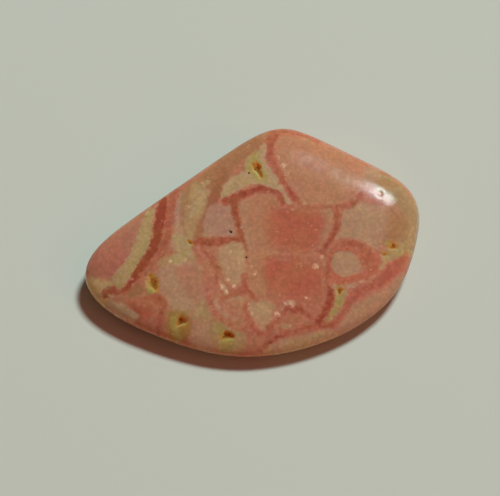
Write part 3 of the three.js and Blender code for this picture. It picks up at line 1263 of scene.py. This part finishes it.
@dataclass
class Slice:
    """The stone: a fine skin with its vugs, dents and pinholes carved in and its markings laid on.

    Attributes:
        ball: The half sizes of the block that the skin is drawn out from, in metres.
        cuts: How often that block's edges along X, Y and Z are cut.
        fine_cuts: How often its edges at vugs and pinholes are cut again.
        vug_margin: How far from a vug's middle that is done, as a share of its size.
        pin_margin: How far from a pinhole's edge that is done, in millimetres.
        waves: The polish's waves, the long and the short, with their length and height in millimetres.
        calm: How high over the base the waves reach their full height, in millimetres.
        lining_size: The size of the bumps in a vug, in millimetres.
        lining: Their height, as a share of the vug's depth.
        raggedness: How far a vug's outline wanders, as a share of its size.
        ragged_size: The size of one bend of that outline, in millimetres.
        lined: The shares of a vug's depth between which its bumps set in.
        rim: The shares of a vug's outline between which the polish comes back.
        vug_level: How far above and below its middle a vug can reach, in millimetres.
        pin_facing: How squarely the skin has to face the camera to carry a pinhole, from 0 to 1.
        pin_shade_share: The share of a pinhole's depth from which it is painted black as shade.
        camera: The camera that the sheet is seen through.
        body: The tumbled body.
        markings: What is drawn on the skin.
        finish: The stone's material.
    """

    ball: tuple[float, float, float] = (15 * MM, 11 * MM, 3 * MM)
    cuts: tuple[int, int, int] = (179, 139, 22)
    fine_cuts: int = 2
    vug_margin: float = 0.75
    pin_margin: float = 0.25
    waves: tuple[Point, Point] = ((2.6, 0.007), (0.9, 0.003))
    calm: float = 0.4
    lining_size: float = 0.22
    lining: float = 0.28
    raggedness: float = 0.35
    ragged_size: float = 0.5
    lined: Point = (0.1, 0.5)
    rim: Point = (0.9, 1.4)
    vug_level: float = 1.2
    pin_facing: float = 0.3
    pin_shade_share: float = 0.4
    camera: PhotoCamera = field(default_factory=PhotoCamera)
    body: WornBody = field(default_factory=WornBody)
    markings: Markings = field(default_factory=Markings)
    finish: PolishedRhodochrosite = field(default_factory=PolishedRhodochrosite)

    def build(self) -> bpy.types.Object:
        """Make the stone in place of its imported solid.

        Returns:
            The stone's object.
        """
        mesh = self.gridded_block()
        place(mesh, self.body.onto_skin(coordinates(mesh) * np.array(self.ball)))
        self.refine_at_vugs(mesh)
        points = self.body.onto_skin(coordinates(mesh) - HEART)
        place(mesh, points)
        normals = directions(mesh)
        places = self.markings.places(self.camera, points, normals)
        carved, wear = self.carve(points, normals)
        place(mesh, carved)
        for face in mesh.faces:
            face.smooth = True
        data = bpy.data.meshes.new("rhodochrosite_stone")
        mesh.to_mesh(data)
        mesh.free()
        self.lay_on(data, places, wear)
        data.materials.append(self.finish.build())
        stone = add_object("rhodochrosite_stone", data)
        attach(stone, "root")
        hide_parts(NODE)
        return stone

    def gridded_block(self) -> bmesh.types.BMesh:
        """Cut a block's faces into a fine grid.

        Returns:
            A bmesh with corners at 1 and -1.
        """
        mesh = bmesh.new()
        bmesh.ops.create_cube(mesh, size=2.0)
        for axis, cuts in enumerate(self.cuts):
            runs = [abs(edge.verts[0].co[axis] - edge.verts[1].co[axis]) for edge in mesh.edges]
            along = [edge for edge, run in zip(mesh.edges, runs) if run > NO_LENGTH]
            bmesh.ops.subdivide_edges(mesh, edges=along, cuts=cuts)
        return mesh

    def vug_middles(self) -> list[tuple[Vug, Side, np.ndarray]]:
        """Find each vug's middle on the skin.

        Returns:
            Each vug with its side and its middle.
        """
        found = []
        for side, vugs in ((Side.TOP, TOP_VUGS), (Side.BASE, BASE_VUGS)):
            for vug in vugs:
                column = np.array([vug.x * MM, vug.y * MM, 0.0]) - HEART
                heights = np.arange(0, OVERHEAD, STRIDE) if side is Side.TOP else np.zeros(1)
                points = column + heights[:, None] * np.array([0.0, 0.0, 1.0])
                inside = np.flatnonzero(self.body.fullness(points) < 1)
                top = heights[inside[-1]] if len(inside) else 0.0
                found.append((vug, side, np.array([vug.x * MM, vug.y * MM, top])))
        return found

    def refine_at_vugs(self, mesh: bmesh.types.BMesh) -> None:
        """Cut the grid finer round each vug and pinhole.

        Args:
            mesh: The skin.
        """
        points = coordinates(mesh)
        near = np.zeros(len(points), bool)
        for vug, _, middle in self.vug_middles():
            near |= lengths(points - middle) < self.vug_margin * max(vug.length, vug.width) * MM
        for at, radius in PINHOLES:
            away = self.camera.seen_from(points, at)
            near |= (away < radius + self.pin_margin) & (points[:, 2] > HEART[2])
        mesh.verts.index_update()
        edges = [edge for edge in mesh.edges if near[edge.verts[0].index] and near[edge.verts[1].index]]
        bmesh.ops.subdivide_edges(mesh, edges=edges, cuts=self.fine_cuts, use_grid_fill=True)

    def carve(self, points: np.ndarray, normals: np.ndarray) -> tuple[np.ndarray, dict[str, np.ndarray]]:
        """Sink the vugs, dents and pinholes into the skin.

        Args:
            points: The skin's points.
            normals: The skin's directions.

        Returns:
            The carved points, and from 0 to 1 how deep each lies in a vug ("hollow"), how far it is from a
            polished place ("raw") and how deep it lies in a pinhole, for its painted shade ("pit").
        """
        sink = np.zeros(len(points))
        for part, (length, height) in enumerate(self.waves):
            sink += drift_of(points, length * MM)[:, part] * height * MM
        sink *= smoothstep(0.0, self.calm * MM, points[:, 2])
        for dent in DENTS:
            away = self.camera.seen_from(points, dent.at) / dent.radius
            seen = np.clip(normals[:, 2], 0, 1) ** 2
            sink += dent.depth * MM * np.exp(-away * away * 2) * seen
        hollow = np.zeros(len(points))
        raw = np.zeros(len(points))
        pit_shade = np.zeros(len(points))
        lining = drift_of(points, self.lining_size * MM)[:, 0]
        for vug, side, middle in self.vug_middles():
            nearest = int(lengths(points - middle).argmin())
            inwards = -normals[nearest] if side is Side.TOP else np.array([0.0, 0.0, 1.0])
            share = self.vug_share(vug, points - middle, inwards)
            bowl = np.sqrt(np.clip(1 - share * share, 0, 1))
            depth = vug.depth * MM * bowl * (1 + self.lining * lining * smoothstep(*self.lined, bowl))
            points = points + depth[:, None] * inwards
            hollow = np.maximum(hollow, bowl)
            raw = np.maximum(raw, 1 - smoothstep(*self.rim, share))
        for at, radius in PINHOLES:
            away = self.camera.seen_from(points, at) / radius
            pit = np.clip(1 - away, 0, 1) * (normals @ self.camera.back > self.pin_facing)
            sink += pit * radius * MM
            # Painted shade: the inner part of each pinhole is painted black.
            pit_shade = np.maximum(pit_shade, smoothstep(0.0, self.pin_shade_share, pit))
        carved = points - normals * sink[:, None]
        carved[:, 2] = np.maximum(carved[:, 2], 0)
        return carved, {"hollow": hollow, "raw": raw, "pit": pit_shade}

    def vug_share(self, vug: Vug, offsets: np.ndarray, inwards: np.ndarray) -> np.ndarray:
        """Measure how far points are from a vug's middle, as shares of its lobed outline: 1 on the outline.

        Args:
            vug: The vug.
            offsets: The points, from its middle.
            inwards: The direction into the stone.

        Returns:
            The shares, large for points on the stone's other side.
        """
        turn = math.radians(vug.turn)
        along = np.array([math.cos(turn), math.sin(turn), 0.0])
        along -= inwards * (along @ inwards)
        along /= np.sqrt(along @ along)
        across = np.cross(-inwards, along)
        run = offsets @ along / (vug.length / 2 * MM)
        breadth = offsets @ across / (vug.width / 2 * MM)
        spread = 1 + vug.reach * np.cos(vug.corners * np.arctan2(breadth, run))
        level = np.abs(offsets @ inwards) < self.vug_level * MM
        ragged = 1 + self.raggedness * drift_of(offsets, self.ragged_size * MM)[:, 0]
        return np.where(level, np.sqrt(run * run + breadth * breadth) / spread * ragged, FAR_SHARE)

    def lay_on(self, data: bpy.types.Mesh, places: np.ndarray, wear: dict[str, np.ndarray]) -> None:
        """Write the markings to the mesh as attributes.

        Args:
            data: The mesh.
            places: Where its vertices read the sheet.
            wear: What else the surface knows of each vertex, by the attribute's name.
        """
        tint = data.attributes.new("tint", "FLOAT_COLOR", "POINT")
        tint.data.foreach_set("color", self.markings.tints(places).astype(np.float32).ravel())
        for name, veins in (("band", BANDS), ("seam", SEAMS)):
            layer = data.attributes.new(name, "FLOAT_VECTOR", "POINT")
            layer.data.foreach_set("vector", self.markings.veins(places, veins).astype(np.float32).ravel())
        for name, values in {"crystal": self.markings.crystals(places), **wear}.items():
            layer = data.attributes.new(name, "FLOAT", "POINT")
            layer.data.foreach_set("value", values.astype(np.float32))


@dataclass(frozen=True)
class DrawingPaper:
    """Pale grey drawing paper, uncoated: its fibres scatter light evenly, with no gleam.

    Attributes:
        colour: Its colour.
        side: Its side, in metres.
        clump: How far apart its fibres clump, in millimetres.
        clump_height: How high they stand.
        gap: How far it lies under the stone, in metres.
    """

    colour: str = "#d4dace"
    side: float = 0.9
    clump: float = 0.6
    clump_height: float = 0.02
    gap: float = 0.01 * MM

    def build(self) -> bpy.types.Object:
        """Lay the paper under the stone.

        Returns:
            The floor's object.
        """
        mesh = bmesh.new()
        bmesh.ops.create_grid(mesh, x_segments=1, y_segments=1, size=self.side / 2)
        bmesh.ops.translate(mesh, verts=mesh.verts, vec=(0, 0, -self.gap))
        data = bpy.data.meshes.new("floor")
        mesh.to_mesh(data)
        mesh.free()
        data.materials.append(self.material())
        floor = add_object("floor", data)
        return floor

    def material(self) -> bpy.types.Material:
        """Make the paper's material.

        Returns:
            The material.
        """
        material, easel = new_material("uncoated drawing paper")
        normal = easel.bumped(easel.noise(self.clump, 4.0), 0.2, self.clump_height)
        settings = {"Base Color": linear(self.colour), "Roughness": 0.95, "Specular IOR Level": 0.1}
        easel.finish(settings, {"Normal": normal})
        return material


@dataclass(frozen=True)
class Panel:
    """A lamp with an even rectangular face, turned to the stone with its long side level.

    Attributes:
        name: Its name.
        looks: The compass direction that it is in, in degrees.
        height: Its height over the horizon, in degrees.
        size: Its width and height, in metres.
        power: Its power, in watts.
        colour: Its light's colour.
        distance: Its distance, in metres.
    """

    name: str
    looks: float
    height: float
    size: tuple[float, float]
    power: float
    colour: str
    distance: float = 1.5

    def build(self) -> None:
        """Hang the lamp."""
        lamp = bpy.data.lights.new(self.name, "AREA")
        lamp.shape = "RECTANGLE"
        lamp.size, lamp.size_y = self.size
        lamp.energy = self.power
        lamp.color = linear(self.colour)[:3]
        away = Vector(compass(self.looks, self.height))
        set_looking(add_object(self.name, lamp), away * self.distance, -away)


@dataclass(frozen=True)
class SoftStudio:
    """A soft panel behind the stone and to its right, a weak warm one in front, and a dim even room.

    The warm panel and the warm room stand in for the red light that leaks through the stone into its shadow.

    Attributes:
        panels: The lamps.
        room: The room's brightness.
        room_colour: The room's colour.
    """

    panels: tuple[Panel, ...] = (
        Panel("soft panel", 54.0, 58.0, (0.34, 0.24), 17.4, "#edfeff"),
        Panel("warm panel", -30.0, 42.0, (1.2, 1.2), 3.5, "#ff8165"),
    )
    room: float = 0.105
    room_colour: str = "#ffb8a6"

    def build(self) -> None:
        """Hang the lamps and light the room."""
        for panel in self.panels:
            panel.build()
        world = bpy.data.worlds.new("dim even room")
        world.use_nodes = True
        tree = world.node_tree
        tree.nodes.clear()
        settings = {"Color": linear(self.room_colour), "Strength": self.room}
        sky = add_node(tree, "ShaderNodeBackground", settings)
        add_node(tree, "ShaderNodeOutputWorld", links={"Surface": sky.outputs["Background"]})
        bpy.context.scene.world = world


def main() -> None:
    """Build the scene, piece by piece."""
    noise.seed_set(NOISE_SEED)
    logging.basicConfig(level=logging.INFO, format="%(name)s: %(message)s")
    bpy.context.scene.view_settings.view_transform = "Standard"
    camera = PhotoCamera()
    camera.build()
    stone = Slice(camera=camera).build()
    log.info("%s: %d vertices, %d faces", stone.name, len(stone.data.vertices), len(stone.data.polygons))
    floor = DrawingPaper().build()
    log.info("%s laid", floor.name)
    SoftStudio().build()
    log.info("lamps hung and room lit")


if __name__ == "__main__":
    main()
